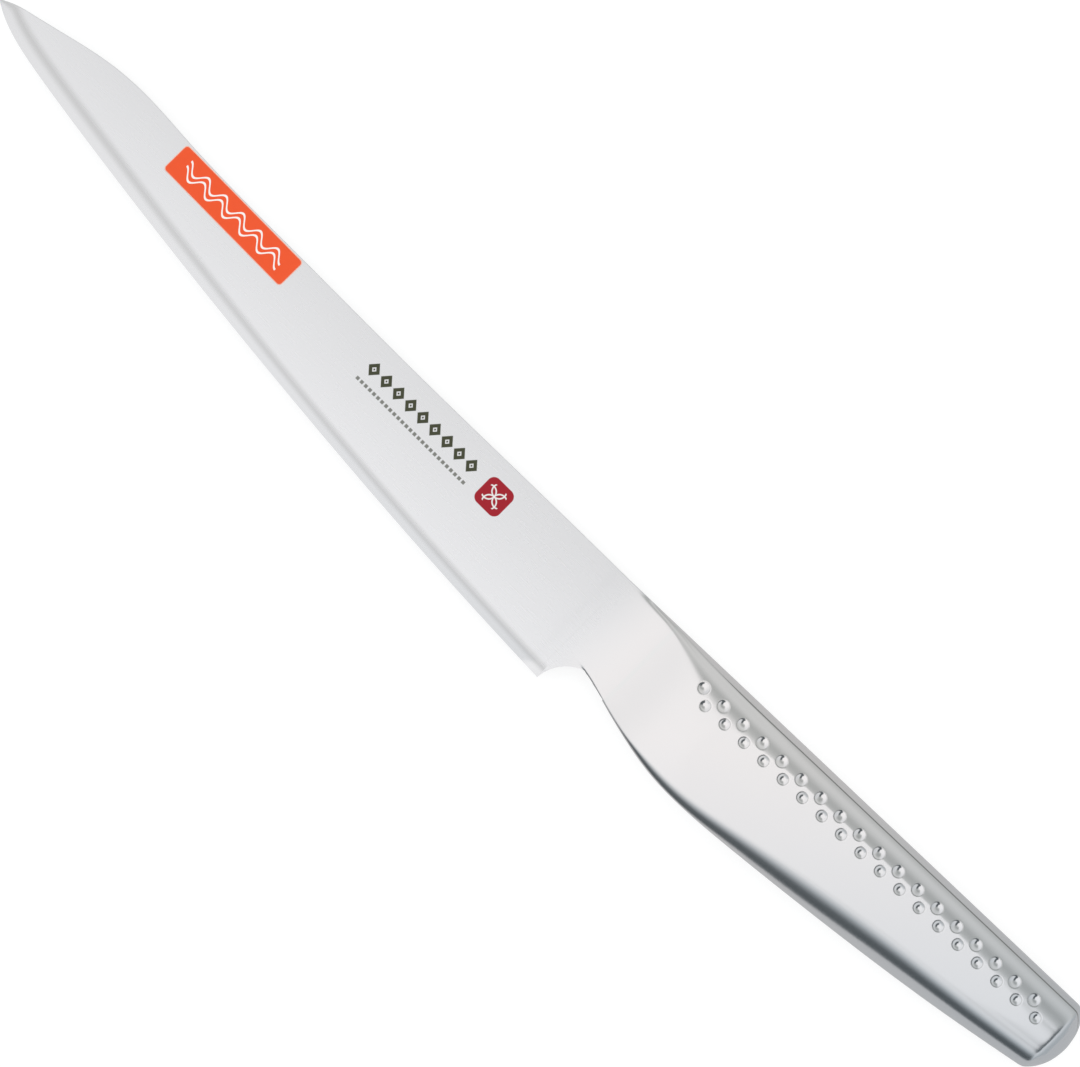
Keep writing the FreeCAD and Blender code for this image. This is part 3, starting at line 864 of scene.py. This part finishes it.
def dimpleTree(material):
    # presses two staggered rows of dimples into both sides of whatever it is given
    tree = bpy.data.node_groups.new("pressDimples", "GeometryNodeTree")
    tree.interface.new_socket("Geometry", in_out="INPUT", socket_type="NodeSocketGeometry")
    tree.interface.new_socket("Geometry", in_out="OUTPUT", socket_type="NodeSocketGeometry")
    tree.interface.new_socket("Count", in_out="INPUT", socket_type="NodeSocketInt")
    for name in ("Pitch", "Rim", "Depth", "Softness", "Start", "Drop", "Row Gap", "Spine Height", "Rise",
                 "Middle", "Upper Slope", "Lower Slope"):
        tree.interface.new_socket(name, in_out="INPUT", socket_type="NodeSocketFloat")
    start = Signal(tree)
    given = {item.name: start.make("NodeGroupInput", None, None, item.name)
             for item in tree.interface.items_tree if item.in_out == "INPUT"}
    x, y, z = start.make("GeometryNodeInputPosition").axes()
    behind = x - given["Start"]
    dent = None
    for row in (0, 1):
        number = (behind / given["Pitch"] - 0.5 * row).math("ROUND").clamped(0.0, given["Count"] - 1.0)
        centre = (number + 0.5 * row) * given["Pitch"]
        height = given["Spine Height"] + given["Rise"] * centre - given["Drop"]
        height = height - given["Row Gap"] * float(row)
        along, across = behind - centre, y - height
        away = (along * along + across * across) / (given["Rim"] * given["Rim"])
        # pressed straight down, so that the bottom is level on the sloping shoulder too
        lean = given["Upper Slope"] if row == 0 else given["Lower Slope"]
        cap = given["Depth"] * (1 - away) - lean * across
        pressed = cap.math("SMOOTH_MAX", 0.0, given["Softness"])
        dent = pressed if dent is None else dent + pressed
    side = (z - given["Middle"]).math("SIGN")
    move = start.make("ShaderNodeCombineXYZ", None, {"Z": 0 - side * dent})
    shaped = start.make("GeometryNodeSetPosition", None, {"Geometry": given["Geometry"], "Offset": move})
    shaped = start.make("GeometryNodeStoreNamedAttribute", {"data_type": "FLOAT", "domain": "POINT"},
                        {"Geometry": shaped, "Name": "dimple", "Value": dent / given["Depth"]})
    real = start.make("GeometryNodeRealizeInstances", None, {"Geometry": shaped})
    finished = start.make("GeometryNodeSetMaterial", None, {"Geometry": real, "Material": material})
    out = tree.nodes.new("NodeGroupOutput")
    tree.links.new(finished.socket, out.inputs["Geometry"])
    return tree


def pressDimples(piece, tree):
    modifier = piece.modifiers.new("dimples", "NODES")
    modifier.node_group = tree
    mm, startX = placing["mm"], dimples["Start"]
    spineHeight = handle["spineHeight"] + handle["rise"] * startX
    sizes = {name: dimples[name] for name in ("Count", "Upper Slope", "Lower Slope")}
    for name in ("Pitch", "Rim", "Depth", "Softness", "Drop", "Row Gap"):
        sizes[name] = dimples[name] * mm
    sizes["Start"] = (startX - placing["restFromHeel"]) * mm
    sizes["Spine Height"] = (spineHeight + placing["restBelowAxis"]) * mm
    sizes["Rise"] = handle["rise"]
    sizes["Middle"] = placing["midPlane"] * mm
    for item in tree.interface.items_tree:
        if item.in_out == "INPUT" and item.name in sizes:
            modifier[item.identifier] = sizes[item.name]
    bpy.context.view_layer.update()
    ready = piece.evaluated_get(bpy.context.evaluated_depsgraph_get())
    mesh = bpy.data.meshes.new_from_object(ready)
    piece.modifiers.remove(modifier)
    piece.data = mesh
    mesh.shade_smooth()
    mesh.set_sharp_from_angle(angle=math.radians(50))


def markCreaseShade(piece, shape, row):
    # where shade is painted: 1 along the crease under the spine, 0 elsewhere, and growing in behind the
    # throat
    columns, rows = shape
    places = np.array([vertex.co.x for vertex in piece.data.vertices])
    places = places / placing["mm"] + placing["restFromHeel"]
    outer = np.arange(columns * rows).reshape(columns, rows)[:, row]
    values = np.zeros(len(places))
    values[outer] = easeBetween(*handle["creaseShadeFrom"], places[outer])
    storeAttribute(piece, "crease", values)


def makeShell(name, node, patch, out, creaseRow, material, tree):
    points, faces = wallSolid(patch, out, handle["wall"])
    piece = meshPiece(name, points, faces, material)
    markCreaseShade(piece, patch.shape[:2], creaseRow)
    pressDimples(piece, tree)
    seatPiece(piece, node)


def makeWeld(name, node, patch, out, material, closed=False):
    points, faces = wallSolid(patch, out, handle["wall"], closed)
    seatPiece(meshPiece(name, points, faces, material), node)


def makeHandle(shellSteel, weldSteel):
    # two shells and three welds, cut from one skin, and the height of the hole for the plug
    half = handleGrid()
    rows = half.shape[1]
    mirrored = half[:, -2:0:-1] * [1, 1, -1]
    ring = np.concatenate([half, mirrored], axis=1)
    looped = np.concatenate([ring[:, -1:], ring, ring[:, :1]], axis=1)
    normals = gridNormals(looped)[:, 1:-1]
    shellStart = neck["length"] + handle["weldWidth"]
    weldColumn = int(np.argmin(np.abs(half[:, 0, 0] - shellStart)))
    weldRows = sectionRows["weld"]
    front = slice(None, weldColumn + 1)
    makeWeld("neckWeld", "neck_weld", ring[front], normals[front], weldSteel, closed=True)
    tree = dimpleTree(shellSteel)
    left = slice(weldRows, rows - weldRows)
    patch, out = ring[weldColumn:, left], normals[weldColumn:, left]
    creaseRow = sectionRows["flat"] + sectionRows["facet"]
    makeShell("leftHandleShell", "left_handle_shell", patch, out, creaseRow, shellSteel, tree)
    flip = np.array([1, 1, -1])
    patch, out = patch[:, ::-1] * flip, out[:, ::-1] * flip
    creaseRow = patch.shape[1] - 1 - creaseRow
    makeShell("rightHandleShell", "right_handle_shell", patch, out, creaseRow, shellSteel, tree)
    reach = np.arange(-weldRows, weldRows + 1)
    for name, node, middle in (("spineSeamWeld", "spine_seam_weld", 0),
                               ("bellySeamWeld", "belly_seam_weld", rows - 1)):
        picked = (middle + reach) % ring.shape[1]
        makeWeld(name, node, ring[weldColumn:, picked], normals[weldColumn:, picked], weldSteel)
    return plugHeight(half)


def makePlug(middle, material):
    # short rod with rounded rims, turned from its profile
    radius, end = handle["plugRadius"], handle["length"]
    start = end - handle["wall"]
    rounding, turns, steps = handle["plugRounding"], 40, 4
    rings = (0.25, 0.5, 0.75)
    profile = [(start, radius * share) for share in rings]
    profile += [(start, radius - rounding), (start + rounding, radius)]
    for step in range(steps + 1):
        turn = math.pi / 2 * step / steps
        profile.append((end - rounding + rounding * math.sin(turn),
                        radius - rounding + rounding * math.cos(turn)))
    profile += [(end, radius * share) for share in reversed(rings)]
    points = []
    for x, away in profile:
        for turn in range(turns):
            angle = 2 * math.pi * turn / turns
            points.append((x, middle + away * math.cos(angle), away * math.sin(angle)))
    faces = tubeFaces(len(profile), turns)
    first, last = len(points), (len(profile) - 1) * turns
    points += [(start, middle, 0), (end, middle, 0)]
    for j in range(turns):
        k = (j + 1) % turns
        faces.append((first, k, j))
        faces.append((first + 1, last + j, last + k))
    seatPiece(meshPiece("fillPlug", points, faces, material), "fill_plug")


label = {
    "length": 32.8,
    "width": 6.8,
    "corner": 0.8,
    "film": 0.1,
    "fromHeel": 107.2,
    "height": 2.2,
    "turn": 0.76,
    "orange": (0.800, 0.088, 0.022),
    "border": (0.86, 0.50, 0.40),
    "line": (0.90, 0.86, 0.83),
    "waves": 5.5,
    "waveHeight": 1.0,
    "waveShift": 0.65,
    "lineHalf": 0.22,
    "margin": 3.0,
    "borderWidth": 0.16,
    "roughness": (0.36, 0.44),
    "mottleDepth": 0.04,
    "gloss": 0.2,
}


def labelMaterial():
    # two wave lines and a thin pale border on orange film
    material, start = newMaterial("glossyOrangeFilm")
    place = readAttribute(start, "labelPlace", "Vector")
    x, y = place.axes()[:2]
    soft = 0.05
    reach = label["length"] / 2 - label["margin"]
    wave = (x * (2 * math.pi * label["waves"] / (2 * reach))).math("SINE") * label["waveHeight"]
    lines = None
    for shift in (-label["waveShift"], label["waveShift"]):
        line = abs(y - wave - shift).below(label["lineHalf"], soft)
        lines = line if lines is None else lines.math("MAXIMUM", line)
    lines = lines * abs(x).below(reach, soft)
    border = label["borderWidth"]
    halfLength, halfWidth = label["length"] / 2 - border, label["width"] / 2 - border
    inside = roundedBox(x, y, halfLength, halfWidth, label["corner"] - 0.1, soft)
    mottle = noise(start, place, 0.8, 3.0)
    fresh = tuple(min(1, each * 1.06) for each in label["orange"])
    colour = mixColour(start, mottle, label["orange"], fresh)
    colour = mixColour(start, lines, colour, label["line"])
    colour = mixColour(start, 1 - inside, colour, label["border"])
    low, high = label["roughness"]
    bump = bumpOf(start, mottle, label["mottleDepth"])
    coverWith(start, colour, low + mottle * (high - low), bump, gloss=label["gloss"])
    return material


def makeLabel(material):
    # rounded film, built flat and then laid on the tapering side of the blade
    halfLength, halfWidth, corner = label["length"] / 2, label["width"] / 2, label["corner"]
    steps = 8
    outline = []
    for cornerX, cornerY, turn in ((1, 1, 0), (-1, 1, 1), (-1, -1, 2), (1, -1, 3)):
        for step in range(steps + 1):
            angle = math.pi / 2 * (turn + step / steps)
            outline.append((cornerX * (halfLength - corner) + corner * math.cos(angle),
                            cornerY * (halfWidth - corner) + corner * math.sin(angle)))
    outline = np.array(outline)
    size = len(outline)
    film = label["film"]
    rings = []
    for inset, up in ((0.0, 0.0), (0.0, film * 0.6), (0.012, film * 0.88), (0.04, film), (0.5, film)):
        shrink = (np.array([halfLength, halfWidth]) - inset) / [halfLength, halfWidth]
        rings.append(np.column_stack([outline * shrink, np.full(size, up)]))
    flat = np.vstack(rings)
    faces = tubeFaces(len(rings), size)
    faces.append(tuple(reversed(range(size))))
    faces.append(tuple((len(rings) - 1) * size + j for j in range(size)))
    taper = bladeTaper()
    lean = Matrix.Rotation(-math.atan(taper / 2), 3, "Y")
    turned = np.array(lean @ Matrix.Rotation(math.radians(-label["turn"]), 3, "Z"))
    half = (blade["heelThickness"] - taper * label["fromHeel"]) / 2
    points = flat @ turned.T + [-label["fromHeel"], label["height"], half]
    piece = meshPiece("bladeLabel", points, faces, material, 30)
    storeAttribute(piece, "labelPlace", flat)
    seatPiece(piece, "blade_label")


sand = {
    "dark": (0.50, 0.43, 0.32),
    "light": (0.70, 0.63, 0.52),
    "grainScale": 4.0,
    "speckleScale": 6.0,
    "grainDepth": 0.5,
    "roughness": (0.85, 0.95),
}


def sandMaterial():
    material, start = newMaterial("fineDrySand")
    place = splitPlace(start)[0]
    inputs = {"Vector": place, "Scale": sand["grainScale"]}
    grains = start.make("ShaderNodeTexVoronoi", None, inputs, "Distance")
    speckle = noise(start, place, sand["speckleScale"], 4.0)
    colour = mixColour(start, speckle, sand["dark"], sand["light"])
    low, high = sand["roughness"]
    bump = bumpOf(start, grains, sand["grainDepth"], 0.0002)
    coverWith(start, colour, low + speckle * (high - low), bump)
    return material


def dressSand():
    # the filling inside the handle keeps its CAD shape and only gets its material
    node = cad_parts["balance_sand"]
    node.data.materials.clear()
    node.data.materials.append(sandMaterial())


studio = {
    "floorSize": 3.0,
    "floorAlbedo": 0.30,
    "floorGlow": 0.76,
    "floorMirrored": 0.35,
    "coolGrey": (0.80, 0.93, 1.0),
    "greenGrey": (0.93, 1.0, 0.97),
    "levelBelow": 0.9,
    "spineSide": (0.70, 0.15),
    "edgeSide": (0.80, 0.12),
    "lightStrength": 1.0,
    "lampStrength": 1.35,
    "lampSpread": 70.0,
    "frameWidth": 213.4,
    "lens": 200.0,
    "sensor": 36.0,
    "pictureRight": (0.7103, 0.7038),
    "pictureCentre": (-87.96, 4.62),
}

# brightness by angle from straight up: towards the spine, the edge, the butt and the point
overSpine = [(0, 1.0), (12, 1.0), (22, 0.54), (34, 0.42), (46, 0.65), (56, 0.73), (66, 0.56), (90, 0.46)]
overEdge = [(0, 1.0), (22, 1.0), (31, 0.90), (40, 0.70), (50, 0.40), (62, 0.13), (80, 0.10), (90, 0.18)]
overButt = [(0, 1.0), (15, 1.0), (21, 0.13), (35, 0.13), (43, 0.80), (64, 0.70), (90, 0.48)]
overPoint = [(0, 1.0), (10, 1.0), (24, 1.0), (40, 0.93), (60, 0.80), (76, 0.45), (90, 0.40)]


def skyLight(start, height, stops, tint):
    # colours by angle from straight up, the more tinted the darker they are
    marked = []
    for degrees, level in stops + [(180, studio["levelBelow"])]:
        colour = tuple(level * (part + (1 - part) * level) for part in tint)
        marked.append((degrees / 180, asColour(colour)))
    return start.make("ShaderNodeValToRGB", {"stops": marked}, {"Fac": height}, "Color")


def studioLight():
    world = bpy.data.worlds.new("softStudio")
    bpy.context.scene.world = world
    world.use_nodes = True
    world.node_tree.nodes.clear()
    start = Signal(world.node_tree)
    x, y, z = start.make("ShaderNodeTexCoord", None, None, "Generated").axes()
    fromTop = z.math("ARCCOSINE") / math.pi
    flat = (x * x + y * y + 1e-6).math("SQRT")
    sideways = y / flat
    cool, green = studio["coolGrey"], studio["greenGrey"]
    point, butt, spine, edge = (skyLight(start, fromTop, stops, tint) for stops, tint in (
        (overPoint, cool), (overButt, cool), (overSpine, green), (overEdge, cool)))
    light = mixColour(start, (x / flat).above(0.0, 0.3), point, butt)
    light = mixColour(start, sideways.above(*studio["spineSide"]), light, spine)
    light = mixColour(start, (0 - sideways).above(*studio["edgeSide"]), light, edge)
    inputs = {"Color": light, "Strength": studio["lightStrength"]}
    finishSurface(start.make("ShaderNodeBackground", None, inputs, 0), "ShaderNodeOutputWorld")


def overheadLamp():
    # brings matt colours to their written level and stays out of reflections
    lamp = bpy.data.lights.new("overheadLamp", "SUN")
    lamp.energy = studio["lampStrength"]
    lamp.angle = math.radians(studio["lampSpread"])
    holder = bpy.data.objects.new("overheadLamp", lamp)
    holder.visible_glossy = False
    bpy.context.scene.collection.objects.link(holder)


def makeFloor():
    # matt floor that the camera sees as white, with the knife's shadow
    half = studio["floorSize"] / 2
    corners = [(-half, -half, 0), (half, -half, 0), (half, half, 0), (-half, half, 0)]
    mesh = bpy.data.meshes.new("floor")
    mesh.from_pydata(corners, [], [(0, 1, 2, 3)])
    floor = bpy.data.objects.new("floor", mesh)
    bpy.context.scene.collection.objects.link(floor)
    material, start = newMaterial("paleFloor")
    albedo = (studio["floorAlbedo"],) * 3
    matt = start.make("ShaderNodeBsdfDiffuse", None, {"Color": asColour(albedo)}, 0)
    camera, glossy, passing = (start.make("ShaderNodeLightPath", None, None, name)
                               for name in ("Is Camera Ray", "Is Glossy Ray", "Is Transmission Ray"))
    seen = camera.math("MAXIMUM", glossy * studio["floorMirrored"]).math("MAXIMUM", passing)
    inputs = {"Color": asColour((1, 1, 1)), "Strength": seen * studio["floorGlow"]}
    glow = start.make("ShaderNodeEmission", None, inputs, 0)
    finishSurface(start.make("ShaderNodeAddShader", None, {0: matt, 1: glow}, 0))
    mesh.materials.append(material)


def makeCamera():
    data = bpy.data.cameras.new("camera")
    data.lens = studio["lens"]
    data.sensor_width = studio["sensor"]
    data.clip_start, data.clip_end = 0.05, 20.0
    camera = bpy.data.objects.new("camera", data)
    bpy.context.scene.collection.objects.link(camera)
    right = Vector((*studio["pictureRight"], 0)).normalized()
    up = Vector((0, 0, 1)).cross(right)
    distance = studio["frameWidth"] * studio["lens"] / studio["sensor"]
    centreX, centreY = studio["pictureCentre"]
    place = Vector((centreX, centreY, distance + placing["midPlane"])) * placing["mm"]
    turn = Matrix((right, up, Vector((0, 0, 1)))).transposed()
    camera.matrix_world = Matrix.Translation(place) @ turn.to_4x4()
    bpy.context.scene.camera = camera


makeCamera()
studioLight()
overheadLamp()
makeFloor()
print("studio, floor and camera ready")

shellSteel = brushedSteel("satinShellSteel", steel["shell"], steel["shellRoughness"], steel["brushStretch"])
weldSteel = brushedSteel("groundWeldSteel", steel["weld"], steel["weldRoughness"], steel["weldStretch"])
print("steel ready")

makeBlade(bladeMaterial())
print("blade and neck ready")
makePlug(makeHandle(shellSteel, weldSteel), weldSteel)
print("handle ready")
makeLabel(labelMaterial())
dressSand()
print("label and sand ready")

bpy.context.scene.view_settings.view_transform = "Standard"
